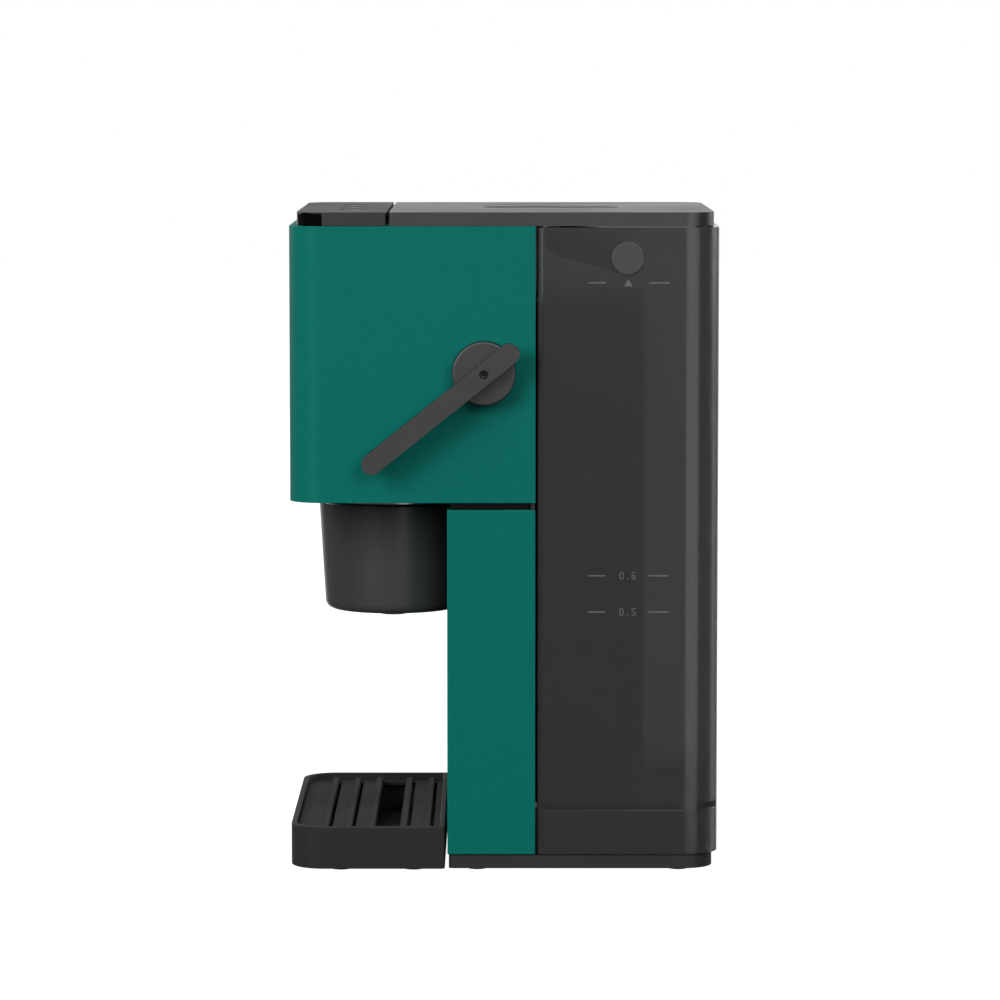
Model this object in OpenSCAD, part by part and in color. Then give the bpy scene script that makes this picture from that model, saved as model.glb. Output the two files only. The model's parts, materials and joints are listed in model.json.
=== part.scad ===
// Pod coffee machine with a side lever, a lowering pod holder, a drip tray and a rear water tank.
// Millimetres. +Z is up, the front faces -Y, and the lever is on the +X side.
// The origin is on the table, under the middle of the whole machine, lever and lead inlet included.
// Inside the modules the body is centred on X = 0; placed() then moves each part sideways.

/* [Body] */
// Width of the body across its side panels
body_w = 155; // [153:0.5:156]
// Depth from the front of the head to the back of the tank
body_d = 189; // [188:0.5:190]
// Height of the green body above the table
body_h = 284.5; // [284:0.5:286]
// Wall thickness of the moulded shells
wall = 2.5; // [2:0.25:2.75]
// Radius of the upright outer corners
corner_r = 15; // [13:0.5:16]
// Back face of the green body, where the water tank begins
seam_y = 13.7; // [13:0.1:14]
// Underside of the head
head_z = 163.4; // [163:0.1:164]
// Front face of the column
column_y = -25.1; // [-26:0.1:-25]

/* [Lid and cap] */
// Height of the lid and the control cap above the body
lid_h = 6; // [5.5:0.1:6.5]
// How far the lid and the cap stand in from the sides
lid_inset = 3.2; // [3:0.1:3.5]
// Gap between the cap and the lid
cap_gap = 1.2; // [1:0.1:1.5]
// Depth of the control cap, front to back
cap_d = 39.5; // [38:0.5:40]

/* [Brewing] */
// Distance from the lever shaft forward to the brewing axis
brew_reach = 41.5; // [41:0.1:42]
// Outer radius of the pod holder at its rim
cup_r = 33.6; // [33:0.1:34]
// Height of the pod holder
cup_h = 49.5; // [47:0.5:50]
// Level of the pod holder's rim
cup_top = 158; // [157.9:0.1:158]

/* [Lever] */
// Height of the lever shaft
shaft_z = 220.9; // [219:0.1:222]
// Position of the lever shaft, front to back
shaft_y = -8.9; // [-9:0.1:-8.8]
// Length of the lever from the shaft to the centre of its round end
lever_len = 62.5; // [55:0.5:70]
// Angle of the closed lever below the horizontal
lever_angle = 38.7; // [35:0.1:42]
// Width of the lever bar
lever_w = 9; // [8:0.5:10]

/* [Tank] */
// Level of the floor inside the water tank
tank_floor = 30; // [29:0.5:31]
// Height of the handle pivot
handle_z = 270.7; // [270:0.1:272]
// Position of the handle pivot, front to back
handle_y = 54; // [52:0.5:56]

/* [Drip tray] */
// Height of the tray rim above the table
tray_h = 19.8; // [19.5:0.1:20]
// Distance between ribs of the grille
rib_pitch = 10.3; // [10:0.1:10.5]
// Distance between the two middle ribs
rib_middle = 14.2; // [14:0.1:14.4]

/* [Hidden] */
$fn = 72;

green = [0.06, 0.36, 0.32];
dark_grey = [0.22, 0.22, 0.22];
black = [0.05, 0.05, 0.05];
smoke = [0.25, 0.26, 0.27, 0.6];
steel = [0.7, 0.71, 0.72];
brass = [0.72, 0.58, 0.3];
rubber = [0.1, 0.1, 0.1];
board_green = [0.1, 0.3, 0.16];

half_w = body_w / 2;
front_y = -body_d / 2;
back_y = body_d / 2;
slack = 1;                       // extra depth of a cut, so that it breaks through
seam_gap = 0.5;                  // open seam between two mouldings

// Base and column
base_bottom = 1;
base_top = 7;
base_inset = 2;
base_front = column_y + 0.6;
base_back = back_y - 2.3;
base_back_r = corner_r - 2;
column_bottom = base_top + seam_gap;
column_top = head_z - 3.1;
lip_h = 3;
foot_r = 4.5;
foot_sites = [[68, -12], [-68, -12], [68, 77], [-68, 77]];
base_screw_sites = [[60, -15], [-60, -15], [58, 62], [-58, 62]];
screw_r = 1.6;
screw_head_r = 3.5;

// Brewing axis and the niche that the pod holder moves in
brew_y = shaft_y - brew_reach;
niche_r = cup_r + 3.2;
niche_bottom = 84;
arm_z = 138;
arm_h = 12;
arm_half_w = 8;
pad_y = brew_y + cup_r - 0.1;

// Rack and pinion
module_mm = 2;
pinion_teeth = 12;
pinion_r = module_mm * pinion_teeth / 2;
pressure_angle = 25;
addendum = 1.6;
dedendum = 2;
tooth_play = 0.22;
pinion_half_w = 4.8;
rack_half_w = 5;
rack_pitch_y = shaft_y + pinion_r;
rack_back_y = rack_pitch_y + 6.6;
rack_top = 252;
shaft_r = 5;
running = 0.05;                  // radial clearance of a shaft in its bore

// Inlet of the mains lead, on the side away from the lever
gland_y = -6;
gland_z = 22;
gland_out = 3;

// Guide rods of the pod holder
rod_r = 4;
rod_x = 22;
rod_y = -3;
rod_bottom = 108;
pinion_frame_z = [shaft_z - 18, shaft_z + 19];

// Lever
hub_r = 13.9;
hub_x = half_w + 0.5;
hub_h = 10;
arm_x = hub_x + hub_h;
arm_t = 6.5;
tail_len = 14.3;
lever_screw_head_r = 2;
lever_screw_r = 1.3;

// Head floor, boiler and hoses
floor_z = head_z + 0.2;
floor_t = 2.5;
group_r = 29;
boiler_r = 27;
boiler_z = 174;
boiler_h = 58;
service_x = 16;                  // the plane of the pump, the hoses and the tank valve
pump_y = 36;
pump_z = [110, 188];
pump_r = 15;
coil_half_w = 19;
coil_z = [128, 166];
port_r = 2.4;
hose_r = 4;
hose_bend = 9;
hose_z = 243;

// Rear housing and tank
panel_y = seam_y - wall;
spine_half_w = 47.5;
spine_back = 59;
spine_bottom = 26;
spine_top = 250;
spine_wall = 2;
dock_half_w = 70;
dock_top = 25.6;
well_y = 76;
well_r = 12;
well_floor = 11;
tank_front = seam_y + 0.9;
tank_bottom = 7.5;
tank_top = body_h - 0.5;
pocket_gap = 0.7;
spigot_r = 9;
spigot_bore = 6;
spigot_bottom = 17;
knob_r = 7.3;
bail_x = half_w - wall - 0.6;
bail_t = 3;
bail_reach = 31;
bail_rise = 5.5;
bail_r = 4.2;

// Lid and its hinge
lid_z = body_h + 0.1;
lid_top = lid_z + lid_h;
lid_half_w = half_w - lid_inset;
cap_front = front_y + lid_inset + 0.2;
cap_back = cap_front + cap_d;
lid_front = cap_back + cap_gap;
lid_back = back_y - 2.4;
lid_r = corner_r - 3;
hinge_y = lid_back - 1.6;
hinge_z = lid_top - 2.6;          // leaves a skin of the lid over the knuckles
hinge_pin_r = 1;
hinge_sites = [-50, 50];
knuckle_half_w = 6;
grip_len = 62;
grip_w = 14;
grip_depth = 4;

// Control cap and buttons
strip_t = 1.6;
strip_back = cap_front + 11.4;
button_r = 6;
button_y = cap_back - 16;
button_x = [-32, 0, 32];
button_gap = 0.3;
stem_r = 2.5;
board_z = 270;
board_t = 1.6;
board_half_w = 58;
board_y = [-85, -53];
board_sites = [[-52, -81], [52, -81], [-52, -57], [52, -57]];

// Drip tray
tray_back = column_y - 1.1;
tray_foot_sites = [[69, -72.3], [-69, -72.3], [69, -40.1], [-69, -40.1]];
ledge_z = 15.3;
grille_z = ledge_z + 0.2;
grille_t = 1.6;
rib_w = 2.4;
rib_h = 1.5;
rib_half_len = 70;
slot_half_len = 64;
slot_step = 0.3;                 // from a rib to the slot behind it
slot_w = 1.3;
drain_half_len = 66;
drain_half_w = 5.2;
grille_y = brew_y - 1.2;

// The body stands off to one side, so that the origin is under the middle of the whole machine
body_x = (half_w + gland_out - arm_x - arm_t) / 2;

// Moves a finished part to its place
module placed() translate([body_x, 0, 0]) children();

// A box given by its low and high limits
module block(x, y, z)
    translate([x[0], y[0], z[0]]) cube([x[1] - x[0], y[1] - y[0], z[1] - z[0]]);

// A box centred across the width
module wide(hw, y, z) block([-hw, hw], y, z);

// The plan of a case, with one radius for its front corners and one for its back corners
module plan(hw, y, front_r, back_r) {
    translate([-hw, y[0] + front_r]) square([2 * hw, y[1] - y[0] - front_r - back_r]);
    if (front_r > 0) {
        translate([-hw + front_r, y[0]]) square([2 * (hw - front_r), front_r + 0.01]);
        for (side = [-1, 1]) translate([side * (hw - front_r), y[0] + front_r]) circle(front_r);
    }
    if (back_r > 0) {
        translate([-hw + back_r, y[1] - back_r - 0.01]) square([2 * (hw - back_r), back_r + 0.01]);
        for (side = [-1, 1]) translate([side * (hw - back_r), y[1] - back_r]) circle(back_r);
    }
}

// A case standing on its plan
module case(hw, y, z, front_r, back_r)
    translate([0, 0, z[0]]) linear_extrude(z[1] - z[0]) plan(hw, y, front_r, back_r);

// A rod or disc along X
module along_x(r, x, y, z)
    translate([x[0], y, z]) rotate([0, 90, 0]) cylinder(r = r, h = x[1] - x[0]);

// A rod or disc along Z
module upright(r, site, z)
    translate([site[0], site[1], z[0]]) cylinder(r = r, h = z[1] - z[0]);

// A ring along Z
module ring(outer, inner, site, z) difference() {
    upright(outer, site, z);
    upright(inner, site, [z[0] - slack, z[1] + slack]);
}

// Draws a flat shape of the Y-Z plane as a plate between two X values
module side_plate(x)
    translate([x[0], 0, 0]) rotate([90, 0, 90]) linear_extrude(x[1] - x[0]) children();

// A flat bar with round ends of radius r1 and r2
module link(p1, r1, p2, r2) {
    run = p2 - p1;
    along = atan2(run[1], run[0]);
    lean = acos((r1 - r2) / norm(run));
    corner = function(p, r, turn) p + r * [cos(along + turn), sin(along + turn)];
    polygon([corner(p1, r1, lean), corner(p1, r1, -lean), corner(p2, r2, -lean), corner(p2, r2, lean)]);
    translate(p1) circle(r1);
    translate(p2) circle(r2);
}

// ---------- base ----------
module base_plate() color(dark_grey) difference() {
    union() {
        difference() {
            case(half_w - base_inset, [base_front, base_back], [base_bottom, base_top], 2, base_back_r);
            case(half_w - base_inset - wall, [base_front + wall, base_back - wall],
                [base_bottom - slack, base_top - wall], 1, base_back_r - wall);
        }
        for (site = concat(foot_sites, base_screw_sites))
            upright(foot_r + 1.5, site, [base_bottom, base_top]);
        difference() {
            wide(half_w - wall - 0.3, [column_y + wall + 0.3, panel_y - 0.3], [base_top, base_top + lip_h]);
            wide(half_w - 2 * wall - 0.3, [column_y + 2 * wall, panel_y - wall],
                [base_top - slack, base_top + lip_h + slack]);
            for (site = base_screw_sites) {
                upright(4.3, site, [base_top, base_top + lip_h + slack]);
                block([site[0] - 1.3, site[0] + 1.3], [column_y, site[1]],
                    [base_top, base_top + lip_h + slack]);
            }
        }
    }
    for (site = foot_sites) upright(foot_r, site, [0, base_bottom + 1.5]);
    for (site = base_screw_sites) {
        upright(screw_head_r + 0.2, site, [0, base_top - wall]);
        upright(screw_r + 0.2, site, [0, base_top + slack]);
    }
}

module base_feet() color(rubber)
    for (site = foot_sites) upright(foot_r, site, [0, base_bottom + 1.5]);

module base_screws() color(steel) for (site = base_screw_sites) difference() {
    union() {
        upright(screw_head_r, site, [base_top - wall - 2.2, base_top - wall]);
        upright(screw_r, site, [base_top - wall, base_top + 8]);
    }
    translate([site[0], site[1], base_top - wall - 2.4]) cylinder(r = 1.5, h = 1.4, $fn = 6);
}

// ---------- green body ----------
module column_shell() color(green) {
    boss_z = [column_bottom, column_bottom + 12];
    difference() {
        wide(half_w, [column_y, seam_y], [column_bottom, column_top]);
        difference() {
            wide(half_w - wall, [column_y + wall, seam_y + slack],
                [column_bottom - slack, column_top + slack]);
            for (site = [base_screw_sites[0], base_screw_sites[1]]) {
                upright(screw_r + 2.4, site, boss_z);
                block([site[0] - 1, site[0] + 1], [column_y, site[1]], boss_z);
            }
        }
        upright(niche_r + wall, [0, brew_y], [niche_bottom - wall, column_top + slack]);
        for (site = [base_screw_sites[0], base_screw_sites[1]]) upright(screw_r, site, [0, boss_z[1] - 3]);
        along_x(6, [-half_w - slack, -half_w + 2 * wall], gland_y, gland_z);
    }
}

// The curved recess that the pod holder moves in, with a slot for the carriage
module niche_liner() color(black) difference() {
    intersection() {
        upright(niche_r + wall, [0, brew_y], [niche_bottom - wall, column_top]);
        wide(half_w, [column_y, seam_y], [0, column_top]);
    }
    upright(niche_r, [0, brew_y], [niche_bottom, column_top + slack]);
    wide(arm_half_w + 1, [brew_y + niche_r - 6, brew_y + niche_r + 2 * wall],
        [arm_z - 21, arm_z + arm_h + 3]);
}

module upper_shell() color(green) {
    difference() {
        case(half_w, [front_y, seam_y], [head_z, body_h], corner_r, 0);
        case(half_w - wall, [front_y + wall, seam_y + slack], [head_z - slack, body_h - wall],
            corner_r - wall, 0);
        along_x(shaft_r + 3, [half_w - 2 * wall, half_w + slack], shaft_y, shaft_z);
        for (x = button_x) upright(stem_r + 0.7, [x, button_y], [body_h - 2 * wall, body_h + slack]);
    }
    for (site = board_sites) difference() {
        upright(3, site, [board_z + board_t, body_h - wall]);
        upright(screw_r, site, [board_z, board_z + board_t + 6]);
    }
}

module head_floor() color(black) {
    difference() {
        case(half_w - wall - 0.2, [front_y + wall + 0.2, panel_y - 0.2], [floor_z, floor_z + floor_t],
            corner_r - wall - 0.2, 0);
        upright(group_r + 0.3, [0, brew_y], [floor_z - slack, floor_z + floor_t + slack]);
        wide(rack_half_w + 1, [rack_pitch_y - 3, panel_y], [floor_z - slack, floor_z + floor_t + slack]);
    }
    difference() {
        union() {
            wide(half_w - 1.6, [column_y + 1.4, panel_y - 0.2], [column_top, head_z]);
            wide(half_w - wall - 0.2, [column_y + 1.4, panel_y - 0.2], [head_z, floor_z]);
        }
        wide(half_w - 4, [column_y + 4, panel_y + slack], [column_top - slack, floor_z + slack]);
        upright(niche_r + 1, [0, brew_y], [column_top - slack, floor_z + slack]);
    }
}

module mouth_collar() color(steel) ring(cup_r + 0.3, group_r + 0.6, [0, brew_y], [cup_top + 0.5, floor_z]);

// ---------- rear housing and tank dock ----------
module rear_housing() color(black) difference() {
    union() {
        wide(half_w - wall - 0.2, [panel_y, seam_y], [base_top + lip_h + 0.2, body_h - wall - 0.2]);
        wide(spine_half_w, [panel_y, spine_back], [spine_bottom, spine_top]);
    }
    wide(spine_half_w - spine_wall, [panel_y - slack, spine_back - spine_wall],
        [spine_bottom + spine_wall, spine_top - spine_wall]);
    upright(hose_r + 0.5, [service_x, pump_y], [spine_bottom - slack, spine_bottom + spine_wall + slack]);
}

module tank_dock() color(black) difference() {
    side_plate([-dock_half_w, dock_half_w])
        polygon([[33.6, base_top], [89, base_top], [88.6, 12], [86.2, dock_top], [34.9, dock_top],
            [33.8, 12]]);
    upright(well_r, [service_x, well_y], [well_floor + 3, dock_top + slack]);
    translate([service_x, well_y, well_floor + 1]) rotate([90, 0, 0]) cylinder(r = 2.5, h = well_y - pump_y);
    upright(2.5, [service_x, pump_y], [well_floor, dock_top + slack]);
    for (site = [base_screw_sites[2], base_screw_sites[3]]) upright(screw_r, site, [0, base_top + 8]);
}

module dock_seal() color(rubber) ring(well_r, spigot_r + 0.3, [service_x, well_y], [19, 22]);

module dock_pin() color(steel) {
    bar_top = well_floor + 4.5;
    block([service_x - well_r + 0.2, service_x + well_r - 0.2], [well_y - 1.5, well_y + 1.5],
        [well_floor + 3, bar_top]);
    upright(1.5, [service_x, well_y], [bar_top, 19]);
}

// ---------- control cap ----------
module cap_body(inset, z)
    case(lid_half_w - inset, [cap_front + inset, cap_back - inset], z, lid_r - inset, 1);

module strip_band(z) intersection() {
    difference() {
        cap_body(0, z);
        cap_body(strip_t, [z[0] - slack, z[1] + slack]);
    }
    wide(half_w, [cap_front - slack, strip_back], [z[0], z[1]]);
}

module control_cap() color(dark_grey) difference() {
    cap_body(0, [lid_z, lid_top]);
    cap_body(strip_t + 1.6, [lid_z - slack, lid_top - 2]);
    strip_band([lid_z - slack, lid_top - 0.5]);
    for (x = button_x) upright(button_r + button_gap, [x, button_y], [lid_z, lid_top + slack]);
}

module indicator_strip() color(black) strip_band([lid_z, lid_top - 0.5]);

module button(x) {
    site = [x, button_y];
    upright(button_r, site, [lid_top - 2.2, lid_top - 0.2]);
    upright(button_r + 1.2, site, [lid_top - 3.7, lid_top - 2.2]);
    upright(stem_r, site, [board_z + 8, lid_top - 3.7]);
}

module espresso_button() color(dark_grey) button(button_x[0]);
module lungo_button() color(dark_grey) button(button_x[1]);
module power_button() color(dark_grey) button(button_x[2]);

// ---------- electrics ----------
module control_board() {
    color(board_green) difference() {
        wide(board_half_w, board_y, [board_z, board_z + board_t]);
        for (site = board_sites) upright(screw_r + 0.2, site, [board_z - slack, board_z + board_t + slack]);
    }
    color(black) for (x = button_x) {
        block([x - 3, x + 3], [button_y - 3, button_y + 3], [board_z + board_t, board_z + board_t + 3.5]);
        upright(1.7, [x, button_y], [board_z + board_t + 3.5, board_z + 6.5]);
    }
    color("white") for (x = [-44, 44])
        block([x - 2.5, x + 2.5], [-79, -76], [board_z + board_t, board_z + board_t + 1.5]);
}

module board_screws() color(steel) for (site = board_sites) {
    upright(2.8, site, [board_z - 2, board_z]);
    upright(screw_r, site, [board_z, board_z + board_t + 5]);
}

module power_board() {
    face_y = 5;
    color(board_green) wide(56, [face_y, face_y + board_t], [26, 92]);
    color(black) block([-45, -20], [face_y - 17, face_y], [50, 80]);
    color(steel) for (x = [5, 24, 43]) translate([x, face_y, 62]) rotate([90, 0, 0]) cylinder(r = 7, h = 14);
}

module cable_gland() color(rubber) difference() {
    union() {
        along_x(8, [-half_w - gland_out, -half_w], gland_y, gland_z);
        along_x(6, [-half_w, -half_w + 2 * wall], gland_y, gland_z);
        along_x(8, [-half_w + wall, -half_w + wall + 2], gland_y, gland_z);
    }
    along_x(3.6, [-half_w - gland_out - slack, -half_w + 2 * wall + slack], gland_y, gland_z);
}

module lever_switch() color(black) {
    block([11, 31], [3.2, 9.8], [176, 186]);
    block([15, 19], [1, 3.2], [180, 184]);
}

// ---------- water path ----------
module group_block() color(brass) {
    upright(group_r, [0, brew_y], [floor_z, boiler_z]);
    upright(22.4, [0, brew_y], [161, floor_z]);
}

module shower_plate() color(steel) difference() {
    upright(22.4, [0, brew_y], [159.3, 161]);
    for (turn = [0 : 45 : 315], r = [8, 15])
        upright(0.9, [r * cos(turn), brew_y + r * sin(turn)], [159, 162]);
}

module brew_gasket() color(rubber) ring(28.8, 22.6, [0, brew_y], [cup_top + 0.4, floor_z]);

module boiler() color(steel) {
    upright(boiler_r, [0, brew_y], [boiler_z, boiler_z + boiler_h]);
    difference() {
        upright(boiler_r + 3, [0, brew_y], [boiler_z + 26, boiler_z + 31]);
        upright(boiler_r - 1, [0, brew_y], [boiler_z + 20, boiler_z + 32]);
    }
    upright(2.2, [service_x, brew_y], [boiler_z + boiler_h, hose_z - hose_bend + 2]);
    for (x = [-18, -10]) upright(2, [x, brew_y + 10], [boiler_z + boiler_h, boiler_z + boiler_h + 9]);
}

module thermostat() color(black) {
    upright(8, [-4, brew_y - 12], [boiler_z + boiler_h, boiler_z + boiler_h + 5]);
    for (x = [-8, 0]) block([x - 0.4, x + 0.4], [brew_y - 15, brew_y - 9],
        [boiler_z + boiler_h + 5, boiler_z + boiler_h + 11]);
}

// A quarter turn of hose in the Y-Z plane, about the centre of the bend
module hose_corner(y, z, start) translate([service_x, y, z]) rotate([start, 0, 0]) rotate([90, 0, 90])
    rotate_extrude(angle = 90) translate([hose_bend, 0]) difference() {
        circle(hose_r, $fn = 32);
        circle(hose_r - 1.5, $fn = 32);
    }

module hose_run(from, length, tilt) translate(from) rotate([tilt, 0, 0]) difference() {
    cylinder(r = hose_r, h = length);
    translate([0, 0, -slack]) cylinder(r = hose_r - 1.5, h = length + 2 * slack);
}

module brew_hose() color("white") {
    low_z = hose_z - hose_bend;
    start_z = pump_z[1] + 8;
    hose_run([service_x, pump_y, start_z], low_z - start_z, 0);
    hose_corner(pump_y - hose_bend, low_z, 0);
    hose_run([service_x, pump_y - hose_bend, hose_z], pump_y - brew_y - 2 * hose_bend, 90);
    hose_corner(brew_y + hose_bend, low_z, 90);
}

module inlet_hose() color("white") hose_run([service_x, pump_y, dock_top], 70, 0);

module pump() color(steel) {
    site = [service_x, pump_y];
    upright(port_r, site, [pump_z[0] - 22, pump_z[0]]);
    upright(pump_r, site, pump_z);
    upright(port_r, site, [pump_z[1], pump_z[1] + 17]);
    difference() {
        block([service_x - coil_half_w, service_x + coil_half_w],
            [pump_y - coil_half_w, pump_y + coil_half_w], coil_z);
        upright(pump_r - 1, site, [coil_z[0] - slack, coil_z[1] + slack]);
    }
}

module pump_mounts() color(rubber) for (z = [pump_z[0] + 4, pump_z[1] - 10])
    ring(20.8, pump_r, [service_x, pump_y], [z, z + 6]);

// ---------- lever mechanism ----------
module guide_rods() color(steel) for (x = [-rod_x, rod_x]) upright(rod_r, [x, rod_y], [rod_bottom, floor_z]);

module rod_bracket() color(black) wide(half_w - wall, [rod_y - 6, rod_y + 6], [rod_bottom - 6, rod_bottom]);

module pinion_frame() color(steel) difference() {
    wide(pinion_half_w + 4.5, [shaft_y - 9, panel_y], pinion_frame_z);
    wide(rack_half_w + 0.3, [shaft_y - 9 - slack, rack_back_y + 0.3],
        [pinion_frame_z[0] - slack, pinion_frame_z[1] + slack]);
    along_x(shaft_r + running, [-20, 20], shaft_y, shaft_z);
}

module lever_bush() color(brass) difference() {
    union() {
        along_x(shaft_r + 3, [half_w - wall, half_w + 0.1], shaft_y, shaft_z);
        along_x(shaft_r + 6, [half_w - 2 * wall, half_w - wall], shaft_y, shaft_z);
    }
    along_x(shaft_r + running, [half_w - 2 * wall - slack, half_w + slack], shaft_y, shaft_z);
}

lever_dir = [-cos(lever_angle), -sin(lever_angle)];
shaft_site = [shaft_y, shaft_z];

module lever_arm() color(dark_grey) difference() {
    side_plate([arm_x, arm_x + arm_t])
        link(shaft_site + lever_len * lever_dir, lever_w / 2 - 0.001,
            shaft_site - tail_len * lever_dir, lever_w / 2);
    along_x(lever_screw_r, [arm_x - slack, arm_x + arm_t], shaft_y, shaft_z);
    along_x(lever_screw_head_r, [arm_x + arm_t - 2.5, arm_x + arm_t + slack], shaft_y, shaft_z);
}

module lever_hub() color(dark_grey) difference() {
    along_x(hub_r, [hub_x, arm_x], shaft_y, shaft_z);
    along_x(shaft_r, [hub_x - slack, arm_x - 2], shaft_y, shaft_z);
    along_x(lever_screw_r, [hub_x, arm_x + slack], shaft_y, shaft_z);
}

module lever_screw() color(steel) difference() {
    union() {
        along_x(lever_screw_head_r, [arm_x + arm_t - 2.5, arm_x + arm_t - 0.6], shaft_y, shaft_z);
        along_x(lever_screw_r, [arm_x - 2, arm_x + arm_t - 2.5], shaft_y, shaft_z);
    }
    translate([arm_x + arm_t - 2, shaft_y, shaft_z]) rotate([0, 90, 0]) cylinder(r = 1.2, h = 2, $fn = 6);
}

module lever_shaft() color(steel) along_x(shaft_r, [-16, arm_x - 2], shaft_y, shaft_z);

module shaft_clip() color(steel) difference() {
    along_x(shaft_r + 2.5, [-12, -10.6], shaft_y, shaft_z);
    along_x(shaft_r, [-13, -9], shaft_y, shaft_z);
    block([-13, -9], [shaft_y - 2, shaft_y + 2], [shaft_z, shaft_z + 9]);
}

// Involute tooth flank: the half angle of a tooth at radius r
base_r = pinion_r * cos(pressure_angle);
function involute(angle) = tan(angle) * 180 / PI - angle;
function half_tooth(r) = (90 / pinion_teeth) - (tooth_play / 2) / pinion_r * 180 / PI
    + involute(pressure_angle) - (r > base_r ? involute(acos(base_r / r)) : 0);
flank_radii = [pinion_r - dedendum, base_r, pinion_r - 0.5, pinion_r, pinion_r + 0.8, pinion_r + addendum];

module pinion() color(steel) difference() {
    side_plate([-pinion_half_w, pinion_half_w]) translate(shaft_site) polygon([
        for (tooth = [0 : pinion_teeth - 1], side = [-1, 1], i = [0 : len(flank_radii) - 1])
            let (r = flank_radii[side < 0 ? i : len(flank_radii) - 1 - i],
                turn = (tooth + 0.5) * 360 / pinion_teeth + side * half_tooth(r))
            r * [cos(turn), sin(turn)]]);
    along_x(shaft_r, [-pinion_half_w - slack, pinion_half_w + slack], shaft_y, shaft_z);
}

// Rack with its teeth facing the pinion; one tooth is level with the shaft
tooth_pitch = PI * module_mm;
module lift_rack() color(steel) side_plate([-rack_half_w, rack_half_w]) {
    tip = rack_pitch_y - addendum;
    root = rack_pitch_y + dedendum;
    tip_half = tooth_pitch / 4 - tooth_play / 2 - addendum * tan(pressure_angle);
    root_half = tooth_pitch / 4 - tooth_play / 2 + dedendum * tan(pressure_angle);
    polygon(concat(
        [[rack_back_y, arm_z + arm_h], [root, arm_z + arm_h]],
        [for (tooth = [-2 : 4],
            point = [[root, -root_half], [tip, -tip_half], [tip, tip_half], [root, root_half]])
            [point[0], shaft_z + tooth * tooth_pitch + point[1]]],
        [[root, rack_top], [rack_back_y, rack_top]]));
}

module lift_carriage() color(steel) difference() {
    union() {
        wide(30, [rod_y - 7.5, rack_back_y], [arm_z, arm_z + arm_h]);
        wide(arm_half_w, [pad_y, rod_y], [arm_z, arm_z + arm_h]);
    }
    for (x = [-rod_x, rod_x]) upright(rod_r + running, [x, rod_y], [arm_z - slack, arm_z + arm_h + slack]);
}

// ---------- pod holder ----------
cup_bottom = cup_top - cup_h;
module pod_cup() color(dark_grey) {
    heel_r = cup_r - 2.7;
    edge = 4;
    difference() {
        union() {
            translate([0, brew_y, 0]) rotate_extrude($fn = 96) polygon(concat(
                [[0, cup_bottom]],
                [for (turn = [-90 : 15 : 0])
                    [heel_r - edge + edge * cos(turn), cup_bottom + edge + edge * sin(turn)]],
                [[cup_r, cup_top - 0.6], [cup_r - 0.6, cup_top], [0, cup_top]]));
            wide(arm_half_w, [pad_y - 6, pad_y], [arm_z, arm_z + arm_h]);
        }
        translate([0, brew_y, 0]) rotate_extrude($fn = 96)
            polygon([[0, cup_bottom - slack], [6, cup_bottom - slack], [6, cup_bottom + 3.5],
                [25.5, cup_bottom + 14], [26, cup_top - 1.5], [29.2, cup_top - 1.5],
                [29.2, cup_top + slack], [0, cup_top + slack]]);
    }
}

module filter_basket() color(steel) difference() {
    translate([0, brew_y, 0]) rotate_extrude($fn = 96)
        polygon([[0, cup_top - 11], [23, cup_top - 11], [24.6, cup_top - 1.4], [29, cup_top - 1.4],
            [29, cup_top], [23.6, cup_top], [22.2, cup_top - 10], [0, cup_top - 10]]);
    for (ring_r = [5, 10, 15], turn = [0 : 360 / ring_r : 359])
        upright(0.7, [ring_r * cos(turn), brew_y + ring_r * sin(turn)], [cup_top - 12, cup_top - 9]);
}

module outlet_nozzle() color(black) {
    ring(6, 3.2, [0, brew_y], [cup_bottom - 3, cup_bottom + 3]);
}

// ---------- drip tray ----------
module drip_tray() color(dark_grey) {
    difference() {
        case(half_w, [front_y, tray_back], [base_bottom, tray_h], corner_r, 1.5);
        case(half_w - wall, [front_y + wall, tray_back - wall], [ledge_z, tray_h + slack],
            corner_r - wall, 1);
        case(half_w - wall - 2, [front_y + wall + 2, tray_back - wall - 2], [base_bottom + 2, tray_h + slack],
            corner_r - wall - 2, 1);
        for (site = tray_foot_sites) upright(foot_r, site, [0, base_bottom + 1]);
    }
}

module tray_feet() color(rubber)
    for (site = tray_foot_sites) upright(foot_r, site, [0, base_bottom + 1]);

rib_offsets = concat([for (i = [2 : -1 : 0]) -rib_middle / 2 - i * rib_pitch],
    [for (i = [0 : 1]) rib_middle / 2 + i * rib_pitch]);
function slot_front(rib_offset) = grille_y + rib_offset + rib_w / 2 + slot_step;

module drip_grille() color(dark_grey) {
    top = grille_z + grille_t;
    difference() {
        case(half_w - wall - 0.3, [front_y + wall + 0.3, tray_back - wall - 0.3], [grille_z, top],
            corner_r - wall - 0.3, 0.7);
        for (y = rib_offsets)
            wide(slot_half_len, [slot_front(y), slot_front(y) + slot_w], [grille_z - slack, top + slack]);
        wide(drain_half_len, [grille_y - drain_half_w, grille_y + drain_half_w],
            [grille_z - slack, top + slack]);
    }
    for (y = rib_offsets)
        wide(rib_half_len, [grille_y + y - rib_w / 2, grille_y + y + rib_w / 2], [top, top + rib_h]);
}

// ---------- water tank ----------
module tank_case(inset, z)
    case(half_w - inset, [tank_front + inset, back_y - inset], z, max(1.5 - inset, 0), corner_r - inset);

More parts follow.
